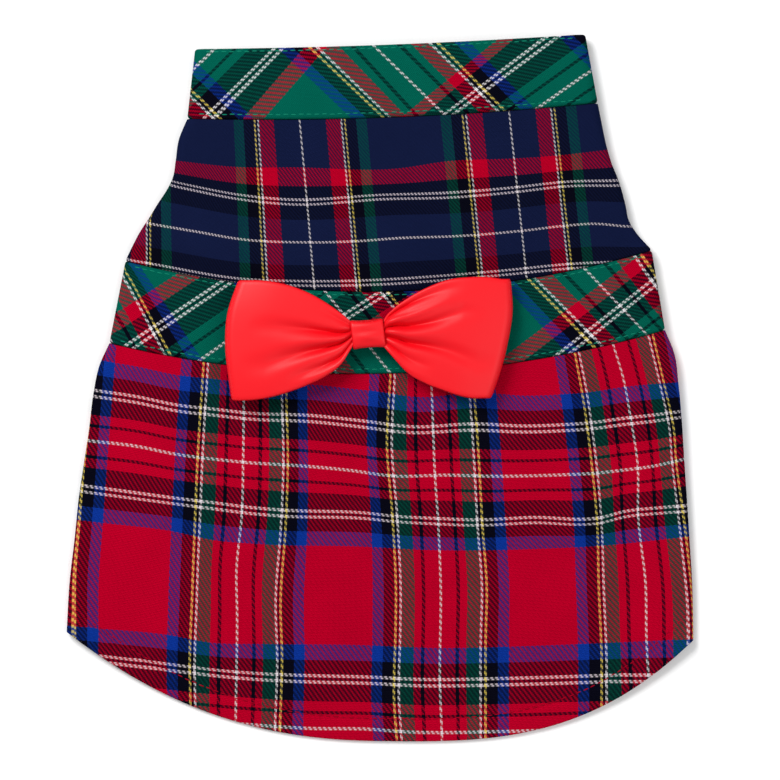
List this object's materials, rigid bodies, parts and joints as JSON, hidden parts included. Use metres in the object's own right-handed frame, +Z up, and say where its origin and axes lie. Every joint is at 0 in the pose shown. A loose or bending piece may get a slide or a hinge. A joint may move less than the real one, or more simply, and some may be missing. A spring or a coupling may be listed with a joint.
{
  "type": "dog dress",
  "caption": "Small dog's pull-on tartan dress lying flat, back up: bias neck and waist bands, dark yoke, red skirt with a curved hem, satin bow.",
  "frame": {"origin": "on the surface the dress lies on, under the middle of its bounding box", "axes": "+X to the right of the dress as it lies, +Y towards the neck, +Z up, out of the back layer"},
  "size_m": [0.2198, 0.248, 0.0214],
  "materials": {
    "neck_band": "green tartan flannel cut on the bias",
    "yoke": "navy tartan flannel",
    "chest_panel": "navy tartan flannel",
    "waist_band": "green tartan flannel cut on the bias",
    "skirt": "red tartan flannel",
    "bow_loops": "scarlet satin",
    "bow_knot": "scarlet satin"
  },
  "bodies": {
    "root": {"neck_band": "neck_band", "yoke": "yoke", "chest_panel": "chest_panel", "waist_band": "waist_band", "skirt": "skirt", "bow_loops": "bow_loops", "bow_knot": "bow_knot"}
  },
  "joints": []
}
